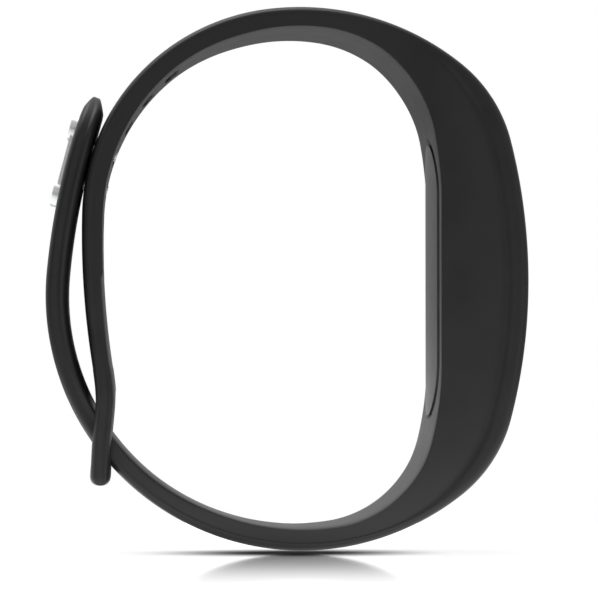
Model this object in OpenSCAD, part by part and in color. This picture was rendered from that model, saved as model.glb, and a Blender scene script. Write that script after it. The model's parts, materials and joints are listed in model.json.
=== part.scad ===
// Fitness tracker band: a closed silicone wristband with a removable module.
// +Z is up, +X points to the housing, and Y runs along the wrist.
// The origin is the centre of the wrist opening.

/* [Band] */
// Thickness of the strap beside its holes
strap_t = 2.6; // [2.5:0.05:2.65]
// Width of both straps at the clasp
strap_w = 14; // [13:0.5:14.5]
// Width of the housing that holds the module
housing_w = 20; // [19.5:0.5:22]
// Wall left in front of the module
sleeve_t = 1.4; // [1.2:0.1:1.5]
// Height of a strap hole, along the strap
hole_h = 2.1; // [1.9:0.1:2.3]
// Width of a strap hole, across the strap
hole_w = 5; // [4.6:0.2:6]
// Number of strap holes
hole_n = 9; // [6:1:9]

/* [Keeper loop] */
// Clearance on each side of the strap inside the loop
keeper_gap = 0.3; // [0.2:0.1:0.5]
// Width of each side bar of the loop
keeper_bar_w = 2; // [1.6:0.2:2.4]
// Thickness of the loop's bars
keeper_t = 2.6; // [2.4:0.1:2.7]

/* [Clasp] */
// Height of a clasp peg, along the strap
peg_h = 1.2; // [1:0.1:1.3]
// Width of a clasp peg, across the strap
peg_w = 3.8; // [3:0.2:4]
// How far a peg stands out of the inner strap
peg_tip = 0.2; // [0.1:0.05:0.3]
// Length of the clasp plate along the strap
plate_l = 11.8; // [10.8:0.2:12]
// Width of the clasp plate across the strap
plate_w = 7; // [6:0.2:8]
// Thickness of the clasp plate
plate_t = 0.8; // [0.7:0.05:0.85]

/* [Module] */
// Length of the module
module_l = 34.8; // [34.4:0.2:35]
// Width of the module
module_w = 14.2; // [14:0.1:14.4]
// Clearance around the module in its sleeve
module_gap = 0.12; // [0.1:0.02:0.16]
// Wall of the module's front case
case_t = 0.9; // [0.8:0.05:0.95]
// Width and height of the display lens
lens_w = 11.8; // [11.4:0.2:11.8]
// Height of the display's centre
display_z = 3.5; // [3:0.25:3.75]

/* [Key] */
// Width of the key's cap
key_w = 6.4; // [5:0.2:6.8]
// Height of the key's cap
key_h = 2.6; // [2.2:0.1:2.8]
// Travel of the key
key_travel = 0.35; // [0.2:0.05:0.35]

/* [Battery] */
// Radius of a coin cell
cell_r = 5.8; // [5.6:0.1:5.8]
// Thickness of a coin cell
cell_t = 4.2; // [4:0.05:4.2]

/* [Hidden] */

$fn = 96;
black = "#202022";

// Outline of the band, as tangent arcs of [radius, angle]; a left turn is positive.
x_front = 32.5;                  // outer face of the housing at mid height
x_back = 21.2;                   // wrist face of the housing
front_r = 70;                    // curve of the housing's outer face
upper_out = [[70.6, 14.3], [18.1, 36.9], [32.9, 45.7], [26.5, 81.7], [104, 12.6]];
upper_in_z = 15.3;
upper_in = [[16.6, 81.9], [24.6, 96.1], [101.4, 12.6]];
lower_out = [[69.5, -14.9], [17.95, -36.55], [32.25, -133.85], [89.5, -17]];
lower_in_z = -10.8;
lower_in = [[40, -13.6], [14.5, -68], [29.4, -103.3], [86.4, -17.6]];
arc_step = 3;                    // degrees between points on an arc

// Strap holes lie on the upper strap's inner arc.
strap_c = [3.49, 7.38];          // centre of that arc
hole_a0 = 130.3;                 // angle of the first hole
hole_pitch = 10;                 // angle between holes on the arc
hole_mid_r = 24.6 + strap_t / 2;
peg_a = hole_a0 + 3.5 * hole_pitch;   // direction of the pegs, between holes 4 and 5
peg_pitch = 2 * hole_mid_r * sin(hole_pitch / 2);

// Clasp plate in its seat on the outer face of the tail
seat_u = 4;                      // distance of the seat from the middle of the holed strap
plate_gap = 0.03;                // clearance of the plate and the pegs in the tail
head_l = 3.1;                    // length of each raised end
head_t = 1.1;                    // height of each raised end

// Where the tail bends away from the lower strap
peel_c = [-27, -2.3];
peel_max = 60;                   // degrees
seat_r = 1.35;                   // round end of the tail at the bend
seat_gap = 0.15;
tip_z = 22.9;                    // end of the tail

// Keeper loop at the end of the upper strap
keeper_top = [-20.75, -13.4];
keeper_bend = [-21.3, -20];
keeper_end = [-21.45, -24.8];
keeper_slot = [-24, -14.7];      // lowest and highest point of the slot
keeper_w = strap_w + 2 * (keeper_gap + keeper_bar_w);

// Depth positions inside the module, from the wrist side to the front
axis_x = x_front - front_r;      // the housing's front faces curve about this line
pocket_r = front_r - sleeve_t;
case_r = pocket_r - module_gap;
dome_x = 20.45;                  // crown of the rear cover
dome_r = 45;
cover_t = 0.8;
cover_x = 22.1;                  // rim of the rear cover
seal_x = 22.5;
cell_x = 21.75;
cell_z = 6.1;
tray_x = 26.6;                   // floor of the battery tray
leaf_tilt = 17;                  // degrees that a contact spring leans out
board_x = 27.1;
board_t = 0.8;
board_l = 31.4;
board_w = 11.6;
boss_y = 3.6;
boss_z = 14.3;
boss_r = 1.05;                   // posts that take the cover's screws
screw_r = 0.5;
screw_head_r = 0.9;
screw_head_t = 0.5;
screw_x = [21.1, 28.95];         // tip and head of a screw
lens_r = front_r - 0.25;
lens_t = 0.75;
panel_x = 28.55;                 // back of the display panel
panel_t = 0.8;
panel_w = 10.8;
guide_t = 0.35;
key_z = -8.6;
flange_x = 28.55;                // flange that keeps the key in
flange_t = 0.3;
can_z = [-13.1, -10.7];          // shield can on the main board
can_y = 4.6;
can_h = 0.7;
front_z = board_x + board_t;     // front face of the main board

function turn(heading) = [-sin(heading), cos(heading)];

// Points along a chain of tangent arcs that starts at p
function arc_path(p, heading, arcs, i = 0) =
    i == len(arcs) ? [p] :
    let (a = arcs[i][1], s = sign(a), r = s * arcs[i][0], n = ceil(abs(a) / arc_step),
         c = p + r * turn(heading))
    concat([for (k = [0:n - 1]) c - r * turn(heading + a * k / n)],
           arc_path(c - r * turn(heading + a), heading + a, arcs, i + 1));

function reversed(v) = [for (i = [len(v) - 1:-1:0]) v[i]];
function smooth(t) = t <= 0 ? 0 : t >= 1 ? 1 : t * t * (3 - 2 * t);

// Half width of the band at a distance x across the wrist
function half_w(x) = strap_w / 2 + (housing_w - strap_w) / 2 * smooth((x + 18) / 44);

module profile(w) {
    rotate([90, 0, 0]) linear_extrude(w, center = true) children();
}

module along_x(x0, x1) {
    translate([x0, 0, 0]) rotate([90, 0, 90]) linear_extrude(x1 - x0) children();
}

module rod(r, x0, x1) {
    translate([x0, 0, 0]) rotate([0, 90, 0]) cylinder(r = r, h = x1 - x0);
}

module across_y(r, w = 60) {
    rotate([90, 0, 0]) cylinder(r = r, h = w, center = true, $fn = 360);
}

// Space on the wrist side of a curved front face of radius r
module inside_front(r) {
    translate([axis_x, 0, 0]) across_y(r);
}

module stadium(l, w) {
    square([w, l - w], center = true);
    for (s = [-1, 1]) translate([0, s * (l - w) / 2]) circle(d = w);
}

module pill(w, h) {
    square([w - h, h], center = true);
    for (s = [-1, 1]) translate([s * (w - h) / 2, 0]) circle(d = h);
}

module rounded_square(w, r) {
    square([w, w - 2 * r], center = true);
    square([w - 2 * r, w], center = true);
    for (y = [-1, 1], z = [-1, 1])
        translate([y * (w / 2 - r), z * (w / 2 - r)]) circle(r = r);
}

module box_at(low, high) {
    translate(low) cube(high - low);
}

module upper_outline() {
    outer = arc_path([x_front, 0], 90, upper_out);
    inner = arc_path([x_back, upper_in_z], 90, upper_in);
    polygon(concat([[x_back, 0]], outer, reversed(inner)));
}

module lower_outline() {
    outer = arc_path([x_front, 0], 270, lower_out);
    inner = arc_path([x_back, lower_in_z], 270, lower_in);
    polygon(concat([[x_back, 0]], outer, reversed(inner)));
}

module band_plan() {
    corner = 2;
    xs = [for (x = [-30:2:26]) x];
    edge = concat([for (x = xs) [x, half_w(x)]],
                  [for (a = [90:-15:0]) [x_front - corner + corner * cos(a),
                                         housing_w / 2 - corner + corner * sin(a)]]);
    polygon(concat(edge, [for (p = reversed(edge)) [p[0], -p[1]]]));
}

// Side view of the keeper loop, with a rounded end bar
module keeper_outline() {
    half = keeper_t / 2;
    path = [keeper_top, keeper_bend, keeper_end];
    polygon(concat([for (p = path) p + [half, 0]], [for (p = reversed(path)) p - [half, 0]]));
    translate(keeper_end) circle(r = half);
}

module keeper() {
    difference() {
        profile(keeper_w) keeper_outline();
        box_at([-30, -keeper_w / 2 + keeper_bar_w, keeper_slot[0]],
               [-10, keeper_w / 2 - keeper_bar_w, keeper_slot[1]]);
    }
}

// Everything above the bend, and the room the tail needs when it is peeled away
module above_bend() {
    translate([peel_c[0] - 20, peel_c[1]]) square([40, 60]);
}

module peel_room() {
    intersection() {
        translate(peel_c) rotate(peel_max) translate([-seat_r - seat_gap, -30]) square([60, 90]);
        translate([peel_c[0] - 30, peel_c[1] - 30]) square([30, 60]);
    }
}

module strap_hole(i) {
    a = hole_a0 + i * hole_pitch;
    translate([strap_c[0], 0, strap_c[1]]) rotate([0, -a, 0])
        along_x(hole_mid_r - strap_t, hole_mid_r + strap_t) pill(hole_w, hole_h);
}

module pocket() {
    intersection() {
        along_x(x_back - 3, x_front) stadium(module_l + 2 * module_gap, module_w + 2 * module_gap);
        inside_front(pocket_r);
    }
    // window over the display, and the opening for the key
    along_x(x_front - 4, x_front + 1) translate([0, display_z]) rounded_square(lens_w + 1.5, 2);
    along_x(x_front - 5, x_front + 1) translate([0, key_z]) pill(key_w + 0.8, key_h + 0.8);
}

module silicone_band() {
    color(black) difference() {
        union() {
            intersection() {
                union() {
                    profile(housing_w) upper_outline();
                    profile(housing_w) difference() {
                        lower_outline();
                        above_bend();
                        peel_room();
                        translate(peel_c) circle(r = seat_r + seat_gap);
                    }
                }
                linear_extrude(100, center = true) band_plan();
            }
            keeper();
        }
        pocket();
        for (i = [0:hole_n - 1]) strap_hole(i);
    }
}

// Place things on the tail: x' along the pegs towards the wrist, z' along the plate
module at_clasp() {
    translate([strap_c[0], 0, strap_c[1]]) rotate([0, -peg_a, 0])
        translate([hole_mid_r, 0, 0]) children();
}

module strap_tail() {
    tip_r = strap_w / 2;
    color(black) difference() {
        intersection() {
            union() {
                profile(strap_w) intersection() {
                    lower_outline();
                    translate([-35, peel_c[1]]) square([20, 40]);
                }
                translate([peel_c[0], 0, peel_c[1]]) across_y(seat_r, strap_w);
            }
            along_x(-40, -10) {
                translate([0, (tip_z - tip_r + peel_c[1] - 5) / 2])
                    square([strap_w, tip_z - tip_r - peel_c[1] + 5], center = true);
                translate([0, tip_z - tip_r]) circle(r = tip_r);
            }
        }
        at_clasp() {
            pegs(plate_gap, 0, seat_u + 1);
            clasp_shape(plate_gap, seat_u, seat_u + 2);
        }
    }
}

// The two pegs of the clasp, grown by gap, from a distance u0 to u1 along them
module pegs(gap, u0, u1) {
    for (s = [-1, 1]) along_x(u0, u1) translate([0, s * peg_pitch / 2])
        pill(peg_w + 2 * gap, peg_h + 2 * gap);
}

// The plate's outline, grown by gap: a narrower bar between two rounded ends
module clasp_shape(gap, u0, u1) {
    along_x(u0, u1) {
        square([plate_w - 1 + 2 * gap, plate_l - head_l], center = true);
        for (s = [-1, 1]) translate([0, s * (plate_l - head_l) / 2])
            pill(plate_w + 2 * gap, head_l + 2 * gap);
    }
}

module clasp_plate() {
    low = seat_u + plate_gap;
    color("silver") at_clasp() difference() {
        union() {
            clasp_shape(0, low, low + plate_t);
            for (s = [-1, 1]) translate([0, 0, s * (plate_l - head_l) / 2])
                along_x(low, low + head_t) pill(plate_w, head_l);
        }
        pegs(plate_gap, low - 1, low + plate_t / 2 + plate_gap);
    }
}

module clasp_pegs() {
    color("gainsboro") at_clasp()
        pegs(0, -strap_t / 2 - peg_tip, seat_u + plate_t / 2);
}

module boss_places() {
    for (y = [-1, 1], z = [-1, 1]) translate([0, y * boss_y, z * boss_z]) children();
}

module front_shell() {
    difference() {
        intersection() {
            along_x(seal_x, x_front) stadium(module_l, module_w);
            inside_front(case_r);
        }
        intersection() {
            along_x(seal_x - 1, x_front)
                stadium(module_l - 2 * case_t, module_w - 2 * case_t);
            inside_front(case_r - case_t);
        }
    }
}

module window_boss() {
    intersection() {
        along_x(panel_x + 1.5, x_front) translate([0, display_z]) rounded_square(lens_w + 1, 1.8);
        difference() {
            inside_front(lens_r - 0.1);
            inside_front(case_r - case_t);
        }
    }
}

module module_front_case() {
    color("#2b2b2e") difference() {
        union() {
            front_shell();
            window_boss();
            intersection() {
                boss_places() rod(boss_r, seal_x + 0.1, x_front);
                inside_front(case_r - case_t / 2);
            }
        }
        // seat for the lens and the opening behind it
        difference() {
            along_x(panel_x, x_front) translate([0, display_z]) rounded_square(lens_w + 0.1, 1.5);
            inside_front(lens_r - lens_t - 0.15);
        }
        along_x(panel_x, x_front) translate([0, display_z]) rounded_square(lens_w - 1.6, 0.8);
        along_x(flange_x, x_front) translate([0, key_z]) pill(key_w + 0.2, key_h + 0.2);
        boss_places() {
            rod(screw_r + 0.1, seal_x, x_front);
            rod(screw_head_r + 0.05, screw_x[1] - screw_head_t, x_front);
        }
    }
}

module curved_plate(r, t) {
    intersection() {
        along_x(panel_x, x_front) translate([0, display_z]) children();
        difference() {
            inside_front(r);
            inside_front(r - t);
        }
    }
}

module display_lens() {
    color("#101014") curved_plate(lens_r, lens_t) rounded_square(lens_w, 1.45);
}

module lens_adhesive() {
    color("#3a3a3a") curved_plate(lens_r - lens_t, 0.15) difference() {
        rounded_square(lens_w - 0.1, 1.4);
        rounded_square(lens_w - 1.6, 0.8);
    }
}

module display_panel() {
    color("#5d6b66") along_x(panel_x, panel_x + panel_t)
        translate([0, display_z]) square(panel_w, center = true);
}

module display_frame() {
    color("#e8e8e8") difference() {
        along_x(front_z, panel_x + panel_t - 0.15)
            translate([0, display_z]) rounded_square(12.1, 0.6);
        along_x(front_z - 1, panel_x + 2)
            translate([0, display_z]) square(panel_w + 0.1, center = true);
        box_at([front_z - 0.1, -3.1, -4], [panel_x + 0.3, 3.1, display_z]);
    }
}

module light_guide() {
    color("#dfe8f0") along_x(panel_x - guide_t - 0.02, panel_x - 0.02)
        translate([0, display_z]) square(panel_w - 0.2, center = true);
}

module display_flex() {
    flex_t = 0.15;
    edge_z = display_z - panel_w / 2;
    color("#c77a2c") {
        box_at([panel_x + 0.05, -3, edge_z - 2.4], [panel_x + 0.05 + flex_t, 3, edge_z - 0.02]);
        box_at([front_z + 0.3, -3, edge_z - 2.4 - flex_t], [panel_x + 0.05 + flex_t, 3, edge_z - 2.4]);
    }
}

module device_key() {
    color("#38383b") {
        intersection() {
            along_x(flange_x, x_front) translate([0, key_z]) pill(key_w, key_h);
            inside_front(front_r - 0.1);
        }
        along_x(flange_x, flange_x + flange_t) translate([0, key_z]) pill(key_w + 0.9, key_h + 0.9);
    }
}

module key_seal() {
    color("#6f3434") along_x(flange_x + flange_t + 0.03, flange_x + flange_t + 0.3)
        translate([0, key_z]) difference() {
            pill(key_w + 1.7, key_h + 1.7);
            pill(key_w + 0.1, key_h + 0.1);
        }
}

module dome_switch() {
    base_t = 0.1;
    gap = 0.05;
    top = flange_x - key_travel - gap;
    color("#d9d9dd") translate([0, 0, key_z]) {
        box_at([front_z, -1.9, -1.6], [front_z + base_t, 1.9, 1.6]);
        rod(1.4, front_z, (front_z + base_t + top) / 2);
        rod(0.9, front_z, top);
    }
}

module main_board() {
    color("#1f5a38") difference() {
        along_x(board_x, front_z) stadium(board_l, board_w);
        boss_places() rod(boss_r + 0.15, board_x - 1, x_front);
    }
}

module shield_can() {
    wall = 0.12;
    color("#c9ccd0") difference() {
        box_at([front_z, -can_y, can_z[0]], [front_z + can_h, can_y, can_z[1]]);
        box_at([front_z - 1, -can_y + wall, can_z[0] + wall],
               [front_z + can_h - wall, can_y - wall, can_z[1] - wall]);
    }
}

module board_components() {
    color("#33363a") {
        box_at([front_z, -1.2, can_z[0] + 0.2], [front_z + 0.45, 1.2, can_z[1] - 0.2]);
        box_at([front_z, 2, can_z[0] + 0.5], [front_z + 0.35, 3.6, can_z[1] - 0.5]);
        box_at([front_z, -3.2, -5.3], [front_z + 0.28, 3.2, -3.9]);
        box_at([front_z, -5, -6.6], [front_z + 0.5, -3.4, -5]);
        box_at([front_z, 3.4, -6.6], [front_z + 0.4, 4.6, -5.8]);
        for (y = [-4.6:1.3:4.6]) box_at([board_x - 0.35, y, -0.3], [board_x, y + 0.7, 0.3]);
    }
}

module antenna() {
    color("#b9a26a") difference() {
        box_at([front_z, -2.2, 11], [front_z + 0.2, 2.2, 14.8]);
        for (s = [-1, 1]) box_at([front_z - 1, s * 1.2 - 1.6, 12.9 + s * 0.9 - 0.3],
                                 [front_z + 1, s * 1.2 + 1.6, 12.9 + s * 0.9 + 0.3]);
    }
}

// Leaf spring on the back of the board that presses on a cell
module leaf(z) {
    leaf_t = 0.2;
    box_at([board_x - leaf_t, -1.5, z - 2.4], [board_x, 1.5, z - 0.8]);
    translate([board_x - leaf_t, 0, z - 0.9]) rotate([0, -leaf_tilt, 0])
        translate([0, -1.5, 0]) cube([leaf_t, 3, 3]);
}

module contact_positive() {
    color("#d8c48a") leaf(cell_z);
}

module contact_negative() {
    color("#d8c48a") leaf(-cell_z);
}

module contact_link() {
    color("#d8c48a") box_at([cell_x - 0.2, -2, -cell_z - 3], [cell_x, 2, cell_z + 3]);
}

module battery_tray() {
    color("#efece2") difference() {
        along_x(seal_x + 0.05, tray_x) stadium(board_l + 0.8, board_w + 0.6);
        for (s = [-1, 1]) translate([0, 0, s * cell_z]) rod(cell_r + 0.08, seal_x - 1, tray_x + 1);
        boss_places() rod(boss_r + 0.12, seal_x - 1, tray_x + 1);
        box_at([seal_x - 1, -2.5, -cell_z], [tray_x + 1, 2.5, cell_z]);
    }
}

module coin_cell() {
    rod(cell_r, cell_x + 0.45, cell_x + cell_t);
    rod(cell_r - 0.5, cell_x, cell_x + 0.45);
}

module battery_upper() {
    color("#cfd2d6") translate([0, 0, cell_z]) coin_cell();
}

module battery_lower() {
    color("#cfd2d6") translate([2 * cell_x + cell_t, 0, -cell_z]) mirror([1, 0, 0]) coin_cell();
}

module rear_cover_seal() {
    color("#6f3434") along_x(cover_x, seal_x) difference() {
        stadium(module_l - 0.5, module_w - 0.5);
        stadium(module_l - 2 * case_t + 0.1, module_w - 2 * case_t + 0.1);
    }
}

module dome_space(r) {
    translate([dome_x + dome_r, 0, 0]) cylinder(r = r, h = 60, center = true, $fn = 360);
}

module rear_cover() {
    color("#8a8c8e") difference() {
        intersection() {
            along_x(dome_x - 1, cover_x) stadium(module_l, module_w);
            dome_space(dome_r);
        }
        difference() {
            intersection() {
                along_x(dome_x - 1, cover_x + 1)
                    stadium(module_l - 2 * case_t, module_w - 2 * case_t);
                dome_space(dome_r - cover_t);
            }
            boss_places() rod(boss_r + 0.2, dome_x - 1, cover_x + 2);
        }
        boss_places() rod(screw_r + 0.02, screw_x[0] - 0.1, cover_x + 1);
    }
}

// Screws that go in from the module's front and hold the rear cover
module rear_cover_screws() {
    color("#b8babd") boss_places() difference() {
        union() {
            rod(screw_head_r, screw_x[1] - screw_head_t, screw_x[1]);
            rod(screw_r, screw_x[0], screw_x[1] - screw_head_t);
        }
        for (a = [0, 90]) rotate([a, 0, 0])
            box_at([screw_x[1] - 0.25, -0.55, -0.12], [screw_x[1] + 0.1, 0.55, 0.12]);
    }
}

silicone_band();
strap_tail();
clasp_plate();
clasp_pegs();
module_front_case();
display_lens();
lens_adhesive();
display_panel();
display_frame();
light_guide();
display_flex();
device_key();
key_seal();
dome_switch();
main_board();
shield_can();
board_components();
antenna();
contact_positive();
contact_negative();
contact_link();
battery_tray();
battery_upper();
battery_lower();
rear_cover_seal();
rear_cover();
rear_cover_screws();
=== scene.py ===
import json
import math

import bmesh
import bpy
import numpy as np
from mathutils import Matrix, Vector


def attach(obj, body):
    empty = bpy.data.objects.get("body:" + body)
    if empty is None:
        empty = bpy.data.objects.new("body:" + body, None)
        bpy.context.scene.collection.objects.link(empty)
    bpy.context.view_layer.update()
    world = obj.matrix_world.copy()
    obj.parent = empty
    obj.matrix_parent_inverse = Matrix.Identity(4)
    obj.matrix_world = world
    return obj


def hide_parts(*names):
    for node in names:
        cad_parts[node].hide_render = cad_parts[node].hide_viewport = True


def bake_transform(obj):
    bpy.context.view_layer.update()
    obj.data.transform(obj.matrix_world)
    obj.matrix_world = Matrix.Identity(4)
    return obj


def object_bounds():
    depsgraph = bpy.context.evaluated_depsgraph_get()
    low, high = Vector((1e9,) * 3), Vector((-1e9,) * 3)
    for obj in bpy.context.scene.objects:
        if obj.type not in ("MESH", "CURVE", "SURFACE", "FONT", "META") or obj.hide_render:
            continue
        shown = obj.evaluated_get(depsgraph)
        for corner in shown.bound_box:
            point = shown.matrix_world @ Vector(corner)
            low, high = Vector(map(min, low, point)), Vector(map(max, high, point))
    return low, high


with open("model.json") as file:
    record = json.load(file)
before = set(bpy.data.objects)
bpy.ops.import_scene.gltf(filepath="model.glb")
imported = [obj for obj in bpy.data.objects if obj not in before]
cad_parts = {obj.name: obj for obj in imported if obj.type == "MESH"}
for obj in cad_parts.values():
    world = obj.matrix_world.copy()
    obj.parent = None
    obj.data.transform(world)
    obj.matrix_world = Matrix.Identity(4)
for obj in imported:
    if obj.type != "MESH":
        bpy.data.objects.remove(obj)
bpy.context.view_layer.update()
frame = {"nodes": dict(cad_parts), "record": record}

MM = 0.001

# ---------------------------------------------------------------- outlines, in mm
# Tangent arcs of (radius, angle), the same as in part.scad; a left turn is positive. The outer outlines start
# at the middle of the housing's front, the inner ones at the two ends of its flat wrist face.
X_FRONT, X_BACK, FRONT_R = 32.5, 21.2, 70
UPPER_OUT = [(70.6, 14.3), (18.1, 36.9), (32.9, 45.7), (26.5, 81.7), (104, 12.6)]
UPPER_IN_Z, UPPER_IN = 15.3, [(16.6, 81.9), (24.6, 96.1), (101.4, 12.6)]
LOWER_OUT = [(69.5, -14.9), (17.95, -36.55), (32.25, -133.85), (89.5, -17)]
LOWER_IN_Z, LOWER_IN = -10.8, [(40, -13.6), (14.5, -68), (29.4, -103.3), (86.4, -17.6)]
STRAP_T, STRAP_W, HOUSING_W = 2.6, 14.0, 20.0
TIP_Z = 23.25            # height of the tail's tip

KEEPER = [(-20.78, -14.6), (-20.95, -17.3), (-21.2, -19.8), (-21.36, -22.2), (-21.45, -24.8)]
KEEPER_W = 18.6
KEEPER_TOP_Z = -11.5     # the upper strap follows its arcs down to this height, and KEEPER below it
KEEPER_REACH = 40        # how many stations from the keeper on can take its width
SEAM = (-21.4, -19.4)    # inside the keeper, where the lower strap is parted into band and tail

BAND_STEP, TAIL_STEP, KEEPER_STEP = 0.75, 0.7, 0.6      # from one cross-section to the next
EDGE_OUT = 0.1           # the outer face stands this far out, so that its rounded edges keep the outline
TIP_IN, TIP_OUT = 0.8, 0.45             # what the wrist face and the outer face lose at the tip
TIP_TAPER_L = 1.9                       # over this length
TIP_ANGLES = [*range(0, 70, 6), 70, 74, 78, 81, 84, 86.5, 88.5]
CAP_ANGLES = (1, 4, 10, 20, 33, 47, 60, 72, 81, 87)
CAP_POWER = 0.7          # below 1, the keeper's end is fuller than a half round


def arcs(start, heading, parts, step=1.0):
    """Points along tangent arcs, at most step degrees apart."""
    pts = [start]
    x, z = start
    for radius, angle in parts:
        r = math.copysign(radius, angle)
        h = math.radians(heading)
        cx, cz = x - r * math.sin(h), z + r * math.cos(h)
        n = max(1, math.ceil(abs(angle) / step))
        for k in range(1, n + 1):
            a = math.radians(heading + angle * k / n)
            pts.append((cx + r * math.sin(a), cz - r * math.cos(a)))
        heading += angle
        x, z = pts[-1]
    return pts


def resample(pts, spacing):
    """Points on the line through pts, about spacing apart."""
    pts = np.array(pts, float)
    d = np.r_[0, np.cumsum(np.hypot(*np.diff(pts, axis=0).T))]
    n = max(2, int(round(d[-1] / spacing)) + 1)
    s = np.linspace(0, d[-1], n)
    return np.c_[np.interp(s, d, pts[:, 0]), np.interp(s, d, pts[:, 1])]


def spline(pts, spacing):
    """Points on a Catmull-Rom curve through pts."""
    pts = [np.array(p, float) for p in pts]
    pts = [2 * pts[0] - pts[1]] + pts + [2 * pts[-1] - pts[-2]]
    out = []
    for a, b, c, d in zip(pts, pts[1:], pts[2:], pts[3:]):
        for t in np.linspace(0, 1, 12, endpoint=False):
            square, cube = 2 * a - 5 * b + 4 * c - d, 3 * b - a - 3 * c + d
            out.append(0.5 * (2 * b + (c - a) * t + square * t**2 + cube * t**3))
    out.append(pts[-2])
    return resample(out, spacing)


def nearest(p, line):
    """The point of a line that is nearest to p."""
    a, b = line[:-1], line[1:]
    ab = b - a
    t = np.clip(((p - a) * ab).sum(1) / (ab * ab).sum(1), 0, 1)
    q = a + ab * t[:, None]
    return q[((q - p) ** 2).sum(1).argmin()]


def index_near(points, p):
    return int(((points - np.array(p)) ** 2).sum(1).argmin())


def unit(v):
    return v / math.hypot(*v)


def smooth(t):
    t = min(1.0, max(0.0, t))
    return t * t * (3 - 2 * t)


def rise(v, start, length):
    """0 up to start and 1 from start + length on, with a smooth step between."""
    return smooth((v - start) / length)


def smoothed(v, passes):
    v = v.copy()
    for _ in range(passes):
        v[1:-1] = 0.25 * v[:-2] + 0.5 * v[1:-1] + 0.25 * v[2:]
    return v


def half_w(x):
    """Half the band's width, from the straps at the left to the housing at the right."""
    return STRAP_W / 2 + (HOUSING_W - STRAP_W) / 2 * rise(x, -18, 44)


def keeper_half_w(w, z):
    """Half width w, widened to the keeper's further down."""
    return w + (KEEPER_W / 2 - w) * rise(-z, 6.5, 8.0)


# ---------------------------------------------------------------- swept moulding
# Where the points of half a cross-section lie, as shares: from the middle of a face to its edge, up the side
# to the line along it, and from that line to the outer edge.
FACE = [0, 0.18, 0.36, 0.52, 0.66, 0.77, 0.85, 0.91, 0.95, 0.98, 0.995]
FLANK = [0, 0.1, 0.24, 0.38, 0.52, 0.66, 0.8, 0.9, 1]
LIP = [0.15, 0.3, 0.5, 0.7, 0.85, 1]
LIP_W = 0.9              # the side comes out again over this width, past the line along it
LINE_LOW, LINE_HIGH = 0.3, 0.1      # the line keeps this far from the rounded inner and outer edges


class Station:
    """One cross-section of the moulding: p is its middle on the wrist side, q on the outer side.

    w is half its width. round_in and round_out are (depth, power) of the rounded edges. lean is how far the
    side closes in towards the outer face, and groove how much further it does at the line along it, which
    lies ridge below the outer face; bow is the power of the curve up to there. In a round tip, over is the
    distance from the middle of the round and w0 half the strap's full width."""

    def __init__(self, p, q, w, round_in, round_out, lean, groove=0.0, ridge=1.5, bow=1.3, over=0.0, w0=None):
        self.p, self.q, self.w = np.array(p), np.array(q), w
        self.round_in, self.round_out = round_in, round_out
        self.lean, self.groove, self.ridge, self.bow = lean, groove, ridge, bow
        self.over, self.w0 = over, w0 or w

    def side(self, low, high, thick):
        """(depth, inset) pairs up the side."""
        line = min(max(thick - self.ridge, low + LINE_LOW), high - LINE_HIGH)
        points = [(low + (line - low) * g, (self.lean + self.groove) * g**self.bow) for g in FLANK]
        for g in LIP:
            u = line + (high - line) * g
            points.append((u, self.lean + self.groove * (1 - smooth((u - line) / min(LIP_W, high - line)))))
        return points

    def ring(self):
        """The section's points, in metres."""
        thick = np.hypot(*(self.q - self.p))
        e = (self.q - self.p) / thick
        depth_in, power_in = self.round_in
        depth_out, power_out = self.round_out
        reach = [min(1, math.hypot(self.over, self.w * f) / self.w0) for f in FACE]
        half = [(depth_in * (1 - math.sqrt(1 - t**power_in)), self.w * f) for f, t in zip(FACE, reach)]
        share = self.w / self.w0
        half += [(u, self.w - inset * share) for u, inset in self.side(depth_in, thick - depth_out, thick)]
        top = half[-1][1]
        half += [(thick - depth_out * (1 - math.sqrt(1 - t**power_out)), top * f)
                 for f, t in zip(FACE[::-1], reach[::-1])]
        other = [(u, -v) for u, v in half[-2:0:-1]]
        return [((self.p[0] + e[0] * u) * MM, v * MM, (self.p[1] + e[1] * u) * MM) for u, v in half + other]


def fix_normals(obj):
    """Merges points that coincide and turns all faces outwards."""
    bm = bmesh.new()
    bm.from_mesh(obj.data)
    bmesh.ops.remove_doubles(bm, verts=bm.verts, dist=1e-7)
    bmesh.ops.recalc_face_normals(bm, faces=bm.faces)
    bm.to_mesh(obj.data)
    bm.free()


def add_object(name, verts, faces):
    mesh = bpy.data.meshes.new(name)
    mesh.from_pydata(verts, [], faces)
    mesh.validate()
    mesh.update()
    obj = bpy.data.objects.new(name, mesh)
    bpy.context.scene.collection.objects.link(obj)
    fix_normals(obj)
    return obj


def walls(count, n):
    """Faces between neighbours of count rings with n points each."""
    faces = []
    for i in range(count - 1):
        for j in range(n):
            a, b = i * n + j, i * n + (j + 1) % n
            faces.append((a, b, b + n, a + n))
    return faces


def sweep(name, stations):
    """A closed solid through the stations' sections."""
    rings = [s.ring() for s in stations]
    n = len(rings[0])
    faces = walls(len(rings), n)
    rungs = n // 2
    for base in (0, (len(rings) - 1) * n):
        # an end face is a ladder from one side of the section to the other, with a triangle at each end
        for j in range(rungs):
            a, b = base + j, base + j + 1
            c, d = base + (n - j - 1) % n, base + (n - j) % n
            face = [a, b, c, d] if j else [a, b, c]
            face = face if j < rungs - 1 else [a, b, d]
            faces.append(tuple(face if base else face[::-1]))
    return add_object(name, [v for r in rings for v in r], faces)


def finish_shading(obj, angle=32):
    obj.data.shade_smooth()
    obj.data.set_sharp_from_angle(angle=math.radians(angle))


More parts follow.
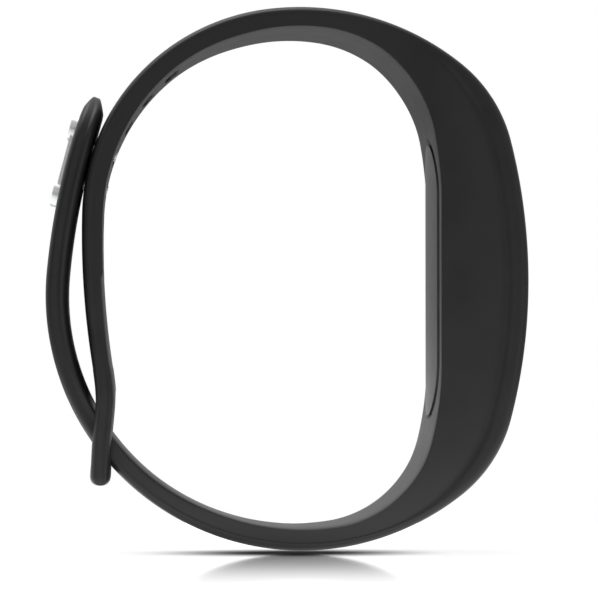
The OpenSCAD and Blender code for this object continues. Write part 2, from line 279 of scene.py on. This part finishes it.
def body_stations():
    """The closed part of the band: the upper strap from the keeper on, the housing, and the lower strap."""
    upper_in = arcs((X_BACK, UPPER_IN_Z), 90, UPPER_IN)
    upper_out = arcs((X_FRONT, 0), 90, UPPER_OUT)
    # both inner lines run a little past the middle of the housing
    in_upper = np.array(upper_in[::-1] + [(X_BACK, -1.0)], float)
    in_lower = np.array([(X_BACK, 1.0)] + lower_in, float)
    pairs = [(nearest(q, in_upper), q) for q in resample(upper_out[::-1], BAND_STEP)]
    pairs += [(nearest(q, in_lower), q) for q in resample(lower_out, BAND_STEP)[1:]]
    mids = np.array([(p + q) / 2 for p, q in pairs])
    first = next(i for i, m in enumerate(mids) if m[1] > KEEPER_TOP_Z)
    middle = len(mids) // 2
    last = index_near(mids[middle:], SEAM) + middle
    body = []
    for (p, q), (x, z) in list(zip(pairs, mids))[first:last + 1]:
        thick = math.hypot(*(q - p))
        e = (q - p) / thick
        # how much of the housing's shape a section has
        h = rise(thick, 3.0, 6.0)
        w = half_w(x + 1.5 * h)
        if len(body) < KEEPER_REACH:
            w = keeper_half_w(w, z)
        # the inner edges are crisp except on the lower strap, and at the upper right the inner face is raised
        if z > 0:
            crisp, low = 1.0, 0.0
            raised = (0.32 + 0.2 * rise(x, 14, 8)) * rise(x, -14, 12) * rise(p[1], 11, 7)
        else:
            crisp, low = max(h, 0.7 * rise(x, -16, 10)), rise(x, -16, 12) * (1 - h)
            raised = 0.0
        body.append(Station(p - e * raised, q + e * EDGE_OUT, w,
                            round_in=(0.6 - 0.42 * crisp, 4 + 5 * crisp),
                            round_out=(0.8 + 0.3 * h + 0.15 * low, 10 + 8 * h),
                            lean=0.1 + (0.06 + 0.64 * rise(z, -20, 30)) * h + 0.2 * low,
                            groove=0.3 * h + 0.04 * low,
                            ridge=1.15 + 1.75 * h,
                            bow=1.2 + 0.5 * h))
    return body


def keeper_stations(body):
    """The strap runs on from the body's first section as a flat plate, which the slot is cut from."""
    def outward(d):
        n = np.array([-d[1], d[0]])
        return -n if n[0] > 0 else n

    m0, m1 = ((s.p + s.q) / 2 for s in body[:2])
    line = smoothed(spline([m1, m0] + KEEPER, KEEPER_STEP), 4)
    line = line[index_near(line, m0) + 1:]
    half_t = STRAP_T / 2
    plate = []
    for i, m in enumerate(line):
        n = outward(unit(line[min(i + 1, len(line) - 1)] - line[i - 1 if i else 0]))
        plate.append(Station(m - n * half_t, m + n * half_t, keeper_half_w(STRAP_W / 2, m[1]),
                             (0.65, 6), (0.75, 8), 0.12))
    d = unit(line[-1] - line[-3])
    n = outward(d)
    for a in CAP_ANGLES:
        c, s = math.cos(math.radians(a)) ** CAP_POWER, math.sin(math.radians(a)) ** CAP_POWER
        m = line[-1] + d * half_t * s
        plate.append(Station(m - n * half_t * c, m + n * half_t * c, KEEPER_W / 2 - 0.6 * (1 - c),
                             (0.65 * c, 6), (0.75 * c, 8), 0.12 * c))
    return plate[::-1] + body[:1]


def tail_stations():
    """The rest of the lower strap, from the seam to the round, thinned tip."""
    line = np.array(lower_in, float)
    pairs = [(nearest(q, line), q) for q in resample(lower_out, TAIL_STEP)]
    mids = np.array([(p + q) / 2 for p, q in pairs])
    seam = index_near(mids, SEAM)
    pairs, mids = pairs[seam:], mids[seam:]
    inner, outer = (np.array(side) for side in zip(*pairs))
    length = np.r_[0, np.cumsum(np.hypot(*np.diff(mids, axis=0).T))]
    last = next(i for i, m in enumerate(mids) if m[1] > TIP_Z)
    (z0, z1), (s0, s1) = mids[last - 1:last + 1, 1], length[last - 1:last + 1]
    total = s0 + (TIP_Z - z0) / (z1 - z0) * (s1 - s0)
    w0 = STRAP_W / 2

    def at(v):
        """Middles of the two faces and the direction between them, v mm from the seam."""
        p, q = (np.array([np.interp(v, length, side[:, k]) for k in (0, 1)]) for side in (inner, outer))
        return p, q, unit(q - p)

    out = []
    for v in np.arange(0, total - w0, TAIL_STEP):
        p, q, e = at(v)
        k = smooth(v / 9)
        out.append(Station(p, q + e * EDGE_OUT, w0, (0.6 + 0.35 * k, 4 + 3 * k), (0.8, 10), 0.12))
    for a in TIP_ANGLES:
        over = w0 * math.sin(math.radians(a))
        p, q, e = at(total - w0 + over)
        # both faces close in towards the tip
        thin = max(0, over - (w0 - TIP_TAPER_L)) / TIP_TAPER_L
        edge = 1 - 0.5 * thin
        out.append(Station(p + e * thin * TIP_IN, q + e * (EDGE_OUT - thin * TIP_OUT),
                           w0 * math.cos(math.radians(a)), (0.95 * edge, 7), (0.8 * edge, 10), 0.12,
                           over=over, w0=w0))
    return out


# the lower strap's outline serves both the band and the tail
lower_out = arcs((X_FRONT, 0), 270, LOWER_OUT)
lower_in = arcs((X_BACK, LOWER_IN_Z), 270, LOWER_IN)
body_part = body_stations()
band = sweep("band_moulding", body_part)
keeper = sweep("keeper", keeper_stations(body_part))
tail = sweep("strap_end", tail_stations())

# ---------------------------------------------------------------- cutters
# The strap's holes lie on an arc around HOLE_C, at angles in degrees. The strap leaves that arc at 178
# degrees, so the last cutters come short: half of hole 7 keeps a thin skin, and holes 8 and 9 stay closed.
HOLE_C, HOLE_R, HOLE_A0, HOLE_PITCH, HOLE_N = (3.49, 7.38), 24.6, 130.3, 10.0, 9
HOLE_ACROSS, HOLE_ALONG = 5.0, 2.1
SLOT_Z, SLOT_W, SLOT_H, SLOT_R = -19.35, STRAP_W + 0.6, 9.3, 1.2
POCKET_W, POCKET_H = 14.44, 35.04
WINDOW_Z, WINDOW_W, WINDOW_R = 3.5, 13.3, 2
KEY_Z, KEY_W, KEY_H = -8.6, 7.2, 3.4
SLEEVE_T = 1.4           # between the pocket and the housing's front

# (depth, growth) pairs: how much an opening has grown at each depth, so that its mouth is rounded
HOLE_LEVELS = [(HOLE_R + depth, grow) for depth, grow in ((-0.6, 1.2), (-0.1, 0.45), (0.2, 0.06), (0.45, 0))]
HOLE_LEVELS += [(HOLE_R + STRAP_T + depth, grow)
                for depth, grow in ((-0.4, 0), (-0.15, 0.06), (0.15, 0.4), (0.6, 1.2))]
SLOT_LEVELS = [(-26, 2.2), (-23.6, 1.4), (-22.75, 0.35), (-22.2, 0),
               (-20.4, 0), (-20.0, 0.3), (-19.4, 1.2), (-18.2, 2.2)]
POCKET_LEVELS = [(-3, 2.6), (-0.2, 1.3), (0, 0.85), (0.25, 0.4), (0.6, 0.1), (1, 0), (X_FRONT - X_BACK, 0)]
WINDOW_LEVELS = [(3, 0), (0.6, 0), (0.25, 0.2), (-0.1, 0.75), (-0.5, 1.6)]
KEY_LEVELS = [(4, 0), (0.6, 0), (0.2, 0.25), (-0.1, 0.8), (-0.5, 1.6)]


def loft(rings, name):
    """A closed solid through rings of equal length."""
    n = len(rings[0])
    verts = [v for r in rings for v in r]
    faces = []
    for base in (0, (len(rings) - 1) * n):
        # each end is closed with triangles around its middle, since it may be curved
        verts.append(tuple(np.mean(verts[base:base + n], axis=0)))
        faces += [(base + j, base + (j + 1) % n, len(verts) - 1) for j in range(n)]
    return add_object(name, verts, faces + walls(len(rings), n))


def pill_ring(w, h, n=12):
    """Outline of a pill w by h, with n steps in each round end."""
    if w < h:
        return [(-y, x) for x, y in pill_ring(h, w, n)]
    out = []
    r, d = h / 2, (w - h) / 2
    for way in (1, -1):
        for k in range(n + 1):
            a = -way * math.pi / 2 + math.pi * k / n
            out.append((way * d + r * math.cos(a), r * math.sin(a)))
    return out


def box_ring(w, h, r, n=6):
    """Outline of a rectangle w by h with corners of radius r."""
    out = []
    for cx, cy, a0 in ((1, 1, 0), (-1, 1, 90), (-1, -1, 180), (1, -1, 270)):
        for k in range(n + 1):
            a = math.radians(a0 + 90 * k / n)
            out.append((cx * (w / 2 - r) + r * math.cos(a), cy * (h / 2 - r) + r * math.sin(a)))
    return out


def cutter(levels, shape, place, name):
    """shape(growth) gives the ring of (y, s) points; place maps (depth, y, s) to the frame, in mm."""
    rings = []
    for depth, grow in levels:
        rings.append([tuple(c * MM for c in place(depth, y, s)) for y, s in shape(grow)])
    return loft(rings, name)


def radial(angle):
    a = math.radians(angle)
    ux, uz = math.cos(a), math.sin(a)
    return lambda d, y, s: (HOLE_C[0] + ux * d - uz * s, y, HOLE_C[1] + uz * d + ux * s)


def along_x(cz):
    return lambda d, y, s: (d, y, cz + s)


def front_drop(z):
    """How far the housing's curved front lies behind its middle at height z."""
    return FRONT_R - math.sqrt(FRONT_R**2 - z**2)


def from_front(cz):
    return lambda d, y, s: (X_FRONT - d - front_drop(cz + s), y, cz + s)


def back_rise(z):
    """How far the wrist face of the housing curves in at height z, from its two end arcs."""
    for start, radius, way in ((UPPER_IN_Z, UPPER_IN[0][0], 1), (LOWER_IN_Z, LOWER_IN[0][0], -1)):
        past = (z - start) * way
        if past > 0:
            return radius - math.sqrt(radius**2 - past**2)
    return 0.0


def from_back(d, y, s):
    """Depth from the wrist face near that face, and from a flat plane well before and behind it."""
    follow = rise(d, -2.5, 2) * (1 - smooth(d / 4))
    return X_BACK + d - back_rise(s) * follow, y, s


def behind_front(depth):
    """A block whose front is the housing's front curve, set back by depth."""
    reach, half_y, x_end = 20, 15, X_BACK - 5
    heights = [k * 0.5 for k in range(-2 * reach, 2 * reach + 1)]
    side = [(X_FRONT - depth - front_drop(z) * (1 + depth / FRONT_R), z) for z in heights]
    side += [(x_end, reach), (x_end, -reach)]
    return loft([[(x * MM, y * MM, z * MM) for x, z in side] for y in (-half_y, half_y)], "front_space")


def cut(obj, tools, operation="DIFFERENCE"):
    """Works at 1 unit to the millimetre, since the solver goes wrong on details below its own tolerance."""
    for o in [obj] + tools:
        o.data.transform(Matrix.Scale(1 / MM, 4))
    for tool in tools:
        m = obj.modifiers.new("cut", "BOOLEAN")
        m.operation, m.solver, m.object = operation, "EXACT", tool
    bpy.context.view_layer.update()
    dg = bpy.context.evaluated_depsgraph_get()
    mesh = bpy.data.meshes.new_from_object(obj.evaluated_get(dg))
    obj.modifiers.clear()
    obj.data = mesh
    obj.data.transform(Matrix.Scale(MM, 4))
    for tool in tools:
        bpy.data.objects.remove(tool)


def drop_cap(obj, station):
    """Takes away the end face that lies in a station's section, so that two sweeps can be joined there."""
    ring = np.array(station.ring())
    bm = bmesh.new()
    bm.from_mesh(obj.data)
    near = {v for v in bm.verts if (np.abs(ring - np.array(v.co)).sum(1)).min() < 2e-6}
    faces = [f for f in bm.faces if all(v in near for v in f.verts)]
    bmesh.ops.delete(bm, geom=faces, context="FACES")
    bm.to_mesh(obj.data)
    bm.free()


def join(a, b):
    bpy.ops.object.select_all(action="DESELECT")
    a.select_set(True)
    b.select_set(True)
    bpy.context.view_layer.objects.active = a
    bpy.ops.object.join()
    fix_normals(a)


# the pocket's mouth grows more across the band than along it
pocket = cutter(POCKET_LEVELS, lambda g: pill_ring(POCKET_W + min(2.6 * g, g + 1.4), POCKET_H + g, 24),
                from_back, "pocket")
window = cutter(WINDOW_LEVELS, lambda g: box_ring(WINDOW_W + g, WINDOW_W + g, WINDOW_R + g / 2),
                from_front(WINDOW_Z), "window")
key_opening = cutter(KEY_LEVELS, lambda g: pill_ring(KEY_W + g, KEY_H + g), from_front(KEY_Z), "key_opening")
cut(pocket, [behind_front(SLEEVE_T)], "INTERSECT")
cut(pocket, [window, key_opening], "UNION")
holes = [cutter(HOLE_LEVELS, lambda g: pill_ring(HOLE_ACROSS + g, HOLE_ALONG + g),
                radial(HOLE_A0 + i * HOLE_PITCH), f"hole{i}") for i in range(HOLE_N)]
cut(band, [pocket] + holes)
# the keeper's slot is cut from side to side of the plate
slot = cutter(SLOT_LEVELS, lambda g: box_ring(SLOT_W + g, SLOT_H + g, SLOT_R, 8), along_x(SLOT_Z), "slot")
cut(keeper, [slot])
drop_cap(band, body_part[0])
drop_cap(keeper, body_part[0])
join(band, keeper)
finish_shading(band)
finish_shading(tail)

# ---------------------------------------------------------------- materials
BUMP_DEPTH = 0.00002
COAT_ROUGHNESS = 0.08


def mapped(nt, value, source, target, interpolation="LINEAR"):
    """Maps a value from one (min, max) range to another."""
    node = nt.nodes.new("ShaderNodeMapRange")
    node.interpolation_type = interpolation
    node.inputs["From Min"].default_value, node.inputs["From Max"].default_value = source
    node.inputs["To Min"].default_value, node.inputs["To Max"].default_value = target
    nt.links.new(value, node.inputs["Value"])
    return node.outputs[0]


def multiplied(nt, a, b):
    node = nt.nodes.new("ShaderNodeMath")
    node.operation = "MULTIPLY"
    nt.links.new(a, node.inputs[0])
    nt.links.new(b, node.inputs[1])
    return node.outputs[0]


def mixed(nt, factor, first, second):
    """The first shader where the factor is 0, the second where it is 1."""
    node = nt.nodes.new("ShaderNodeMixShader")
    for i, source in enumerate((factor, first, second)):
        nt.links.new(source, node.inputs[i])
    return node.outputs[0]


def noise(nt, vector, scale, detail):
    node = nt.nodes.new("ShaderNodeTexNoise")
    node.inputs["Scale"].default_value = scale
    node.inputs["Detail"].default_value = detail
    nt.links.new(vector, node.inputs["Vector"])
    return node.outputs["Fac"]


def material(name, color, rough, metallic=0.0, spec=0.5, vary=0.2, vary_scale=400.0, bump=0.1,
             bump_scale=9000.0, rough_vary=0.06, coat=0.0, transmission=0.0, stretch=None):
    """Colour and roughness vary with noise, and a fine noise gives the surface its texture."""
    m = bpy.data.materials.new(name)
    m.use_nodes = True
    nt = m.node_tree
    nt.nodes.clear()
    out = nt.nodes.new("ShaderNodeOutputMaterial")
    bsdf = nt.nodes.new("ShaderNodeBsdfPrincipled")
    nt.links.new(bsdf.outputs[0], out.inputs[0])
    source = nt.nodes.new("ShaderNodeTexCoord").outputs["Object"]
    if stretch:
        mapping = nt.nodes.new("ShaderNodeMapping")
        mapping.inputs["Scale"].default_value = stretch
        nt.links.new(source, mapping.inputs["Vector"])
        source = mapping.outputs[0]
    coarse = noise(nt, source, vary_scale, 4)
    ramp = nt.nodes.new("ShaderNodeValToRGB")
    dark, light = ramp.color_ramp.elements
    dark.position, light.position = 0.3, 0.7
    dark.color = (*[c * (1 - vary) for c in color], 1)
    light.color = (*[min(1, c * (1 + vary)) for c in color], 1)
    nt.links.new(coarse, ramp.inputs[0])
    nt.links.new(ramp.outputs[0], bsdf.inputs["Base Color"])
    rough_range = (max(0.02, rough - rough_vary), min(1, rough + rough_vary))
    nt.links.new(mapped(nt, coarse, (0, 1), rough_range), bsdf.inputs["Roughness"])
    texture = nt.nodes.new("ShaderNodeBump")
    texture.inputs["Strength"].default_value = bump
    texture.inputs["Distance"].default_value = BUMP_DEPTH
    nt.links.new(noise(nt, source, bump_scale, 3), texture.inputs["Height"])
    nt.links.new(texture.outputs[0], bsdf.inputs["Normal"])
    bsdf.inputs["Metallic"].default_value = metallic
    bsdf.inputs["Specular IOR Level"].default_value = spec
    bsdf.inputs["Coat Weight"].default_value = coat
    bsdf.inputs["Coat Roughness"].default_value = COAT_ROUGHNESS
    bsdf.inputs["Transmission Weight"].default_value = transmission
    return m


LOOKS = {
    "silicone": dict(color=(0.0125, 0.0125, 0.0135), rough=0.46, spec=0.4, vary=0.12, vary_scale=260,
                     bump=0.12, bump_scale=7000),
    "clasp_steel": dict(color=(0.9, 0.91, 0.92), rough=0.48, metallic=1.0, vary=0.05, bump=0.04,
                        stretch=(1, 6, 1)),
    "case_plastic": dict(color=(0.02, 0.02, 0.022), rough=0.42, vary=0.1, bump=0.2),
    "lens": dict(color=(0.25, 0.27, 0.27), rough=0.06, vary=0.03, transmission=0.9, bump=0.0, coat=0.4,
                 rough_vary=0.02),
    "adhesive": dict(color=(0.03, 0.03, 0.03), rough=0.8),
    "display": dict(color=(0.19, 0.22, 0.2), rough=0.3, vary=0.05, vary_scale=3000, coat=0.5),
    "white_plastic": dict(color=(0.72, 0.72, 0.69), rough=0.5, vary=0.04),
    "light_guide": dict(color=(0.7, 0.76, 0.8), rough=0.25, vary=0.03, transmission=0.3),
    "flex": dict(color=(0.45, 0.2, 0.05), rough=0.4, vary=0.15),
    "key_plastic": dict(color=(0.03, 0.03, 0.033), rough=0.4, vary=0.1, bump=0.15),
    "seal_rubber": dict(color=(0.15, 0.04, 0.035), rough=0.6),
    "spring_steel": dict(color=(0.6, 0.6, 0.62), rough=0.3, metallic=1.0, vary=0.06),
    "board": dict(color=(0.015, 0.1, 0.04), rough=0.35, vary=0.15, coat=0.3),
    "chip_plastic": dict(color=(0.03, 0.03, 0.033), rough=0.5),
    "contact_metal": dict(color=(0.75, 0.56, 0.25), rough=0.28, metallic=1.0, vary=0.06),
    "cell_steel": dict(color=(0.66, 0.67, 0.68), rough=0.25, metallic=1.0, vary=0.05),
    "cover_plastic": dict(color=(0.045, 0.046, 0.048), rough=0.42, vary=0.1, bump=0.25, bump_scale=6000),
    "screw_steel": dict(color=(0.5, 0.5, 0.52), rough=0.3, metallic=1.0, vary=0.08),
}
mats = {name: material(name, **look) for name, look in LOOKS.items()}

slots = {s["node"]: s["material_slot"] for s in frame["record"]["subparts"]}
for node, obj in frame["nodes"].items():
    obj.data.materials.clear()
    obj.data.materials.append(mats[slots[node]])
    finish_shading(obj, 28)

ROUNDED = {"clasp_plate": 0.16, "clasp_pegs": 0.15, "rear_cover": 0.45, "device_key": 0.12,
           "display_lens": 0.08, "rear_cover_screws": 0.04}       # width of the rounded edges, in mm
for name, width in ROUNDED.items():
    bev = frame["nodes"][name].modifiers.new("edges", "BEVEL")
    bev.width, bev.segments, bev.limit_method, bev.angle_limit = width * MM, 3, "ANGLE", math.radians(40)

for obj in (band, tail):
    obj.data.materials.append(mats["silicone"])
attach(band, "band")
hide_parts("silicone_band")
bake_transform(tail)
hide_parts("strap_tail")

# ---------------------------------------------------------------- studio, in metres
FLOOR_Y, FLOOR_R = -0.02, 0.11      # the floor's middle lies a little towards the camera
FLOOR_GAP = 0.0005                  # it lies this far under the band, so that the mirror image starts lower
PAINTED_SHADOW_AT = (0.003, -0.0015)          # the middle of the painted contact shadow where the band stands
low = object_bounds()[0]


def oval_distance(nt, centre, scale):
    """Distance from a point of the floor, with x and y scaled, so that equal values lie on ovals."""
    mapping = nt.nodes.new("ShaderNodeMapping")
    mapping.inputs["Scale"].default_value = (*scale, 0)
    mapping.inputs["Location"].default_value = (-scale[0] * centre[0], scale[1] * (FLOOR_Y - centre[1]), 0)
    nt.links.new(nt.nodes.new("ShaderNodeTexCoord").outputs["Object"], mapping.inputs["Vector"])
    length = nt.nodes.new("ShaderNodeVectorMath")
    length.operation = "LENGTH"
    nt.links.new(mapping.outputs[0], length.inputs[0])
    return length.outputs["Value"]


def diffuse(nt, grey):
    node = nt.nodes.new("ShaderNodeBsdfDiffuse")
    node.inputs["Color"].default_value = (grey, grey, grey, 1)
    return node.outputs[0]


def glowing(nt, strength):
    node = nt.nodes.new("ShaderNodeEmission")
    nt.links.new(strength, node.inputs["Strength"])
    return node.outputs[0]


def is_camera_ray(nt):
    return nt.nodes.new("ShaderNodeLightPath").outputs["Is Camera Ray"]


def floor_material():
    m = bpy.data.materials.new("floor")
    m.use_nodes = True
    nt = m.node_tree
    nt.nodes.clear()
    away = oval_distance(nt, (0, 0), (0.4, 1))
    # a white table with a painted glow that rises away from the object, so that the table is darker near the
    # object as painted shade
    table = nt.nodes.new("ShaderNodeAddShader")
    nt.links.new(diffuse(nt, 0.95), table.inputs[0])
    nt.links.new(glowing(nt, mapped(nt, away, (0.004, 0.06), (0.0, 0.6), "SMOOTHSTEP")), table.inputs[1])
    # it shines only near the object and at a flat angle, as a varnished table does
    gloss = nt.nodes.new("ShaderNodeBsdfAnisotropic")
    gloss.inputs["Roughness"].default_value = 0.06
    shine = mapped(nt, away, (0.0, 0.13), (0.75, 0.0), "SMOOTHSTEP")
    flat = mapped(nt, nt.nodes.new("ShaderNodeLayerWeight").outputs["Facing"], (0.78, 0.93), (0, 1))
    table = mixed(nt, multiplied(nt, shine, flat), table.outputs[0], gloss.outputs[0])
    # a thin painted contact shadow where the band stands
    painted_contact_shadow = mapped(nt, oval_distance(nt, PAINTED_SHADOW_AT, (0.4, 0.75)), (0.002, 0.0085), (0.97, 0.0), "SMOOTHSTEP")
    table = mixed(nt, painted_contact_shadow, table, diffuse(nt, 0.02))
    # a painted glow that stands for the light the table throws back on the object, dimmed near the band as
    # painted shade; it has no part in the picture of the table
    painted_bounce_glow = glowing(nt, mapped(nt, away, (0.002, 0.015), (0.0, 1.45)))
    out = nt.nodes.new("ShaderNodeOutputMaterial")
    nt.links.new(mixed(nt, is_camera_ray(nt), painted_bounce_glow, table), out.inputs[0])
    return m


def add_floor():
    bpy.ops.mesh.primitive_circle_add(vertices=96, radius=FLOOR_R, fill_type="NGON",
                                      location=(0, FLOOR_Y, low.z - FLOOR_GAP))
    floor = bpy.context.object
    floor.name = "floor"
    floor.data.materials.append(floor_material())


def add_card():
    """A low white card behind, seen only in reflections."""
    bpy.ops.mesh.primitive_plane_add(size=1, location=(0, 0.22, low.z + 0.013), rotation=(math.pi / 2, 0, 0))
    card = bpy.context.object
    card.name = "white_card"
    card.scale = (0.24, 0.02, 1)
    card.visible_camera = False
    m = bpy.data.materials.new("white_card")
    m.use_nodes = True
    bsdf = m.node_tree.nodes["Principled BSDF"]
    bsdf.inputs["Emission Color"].default_value = (1, 1, 1, 1)
    bsdf.inputs["Emission Strength"].default_value = 1.2
    card.data.materials.append(m)


def add_world():
    """White to the camera; as light it fades towards the camera's side and below the horizon."""
    world = bpy.data.worlds.new("studio")
    bpy.context.scene.world = world
    world.use_nodes = True
    nt = world.node_tree
    nt.nodes.clear()
    axes = nt.nodes.new("ShaderNodeSeparateXYZ")
    nt.links.new(nt.nodes.new("ShaderNodeTexCoord").outputs["Generated"], axes.inputs[0])
    behind = mapped(nt, axes.outputs["Y"], (-1.0, 0.3), (0.13, 1.0))
    above = mapped(nt, axes.outputs["Z"], (-0.1, 0.15), (0.1, 1.0))
    light = nt.nodes.new("ShaderNodeBackground")
    nt.links.new(multiplied(nt, behind, above), light.inputs["Strength"])
    white = nt.nodes.new("ShaderNodeBackground")
    white.inputs["Strength"].default_value = 1.0
    white.inputs["Color"].default_value = (1, 1, 1, 1)
    out = nt.nodes.new("ShaderNodeOutputWorld")
    nt.links.new(mixed(nt, is_camera_ray(nt), light.outputs[0], white.outputs[0]), out.inputs[0])


def add_area(name, loc, target, width, height, power):
    light = bpy.data.lights.new(name, "AREA")
    light.shape = "RECTANGLE"
    light.size, light.size_y = width, height
    light.energy = power
    obj = bpy.data.objects.new(name, light)
    obj.location = loc
    obj.rotation_euler = (Vector(target) - Vector(loc)).to_track_quat("-Z", "Y").to_euler()
    bpy.context.scene.collection.objects.link(obj)


add_floor()
add_card()
add_world()
add_area("top_softbox", (-0.15, 0.05, 0.6), (0, 0, 0), 0.5, 0.5, 2.5)
add_area("front_card", (-0.035, -0.45, 0.15), (-0.024, 0, 0.018), 0.14, 0.3, 0.155)
add_area("right_card", (0.36, -0.42, 0.05), (0.03, 0, 0), 0.3, 0.4, 0.3)

# ---------------------------------------------------------------- camera, fitted to the photo's outline
CAMERA_AT, CAMERA_YAW, CAMERA_PITCH, CAMERA_LENS = (-0.018007, -0.395, -0.014364), 3.178, 1.709, 184.76

cam_data = bpy.data.cameras.new("camera")
cam_data.lens, cam_data.sensor_width = CAMERA_LENS, 36
cam_data.clip_start, cam_data.clip_end = 0.01, 20
cam = bpy.data.objects.new("camera", cam_data)
bpy.context.scene.collection.objects.link(cam)
cam.location = CAMERA_AT
yaw, pitch = math.radians(CAMERA_YAW), math.radians(CAMERA_PITCH)
look = Vector((math.sin(yaw) * math.cos(pitch), math.cos(yaw) * math.cos(pitch), math.sin(pitch)))
cam.rotation_euler = look.to_track_quat("-Z", "Y").to_euler()
bpy.context.scene.camera = cam
bpy.context.scene.view_settings.view_transform = "Standard"
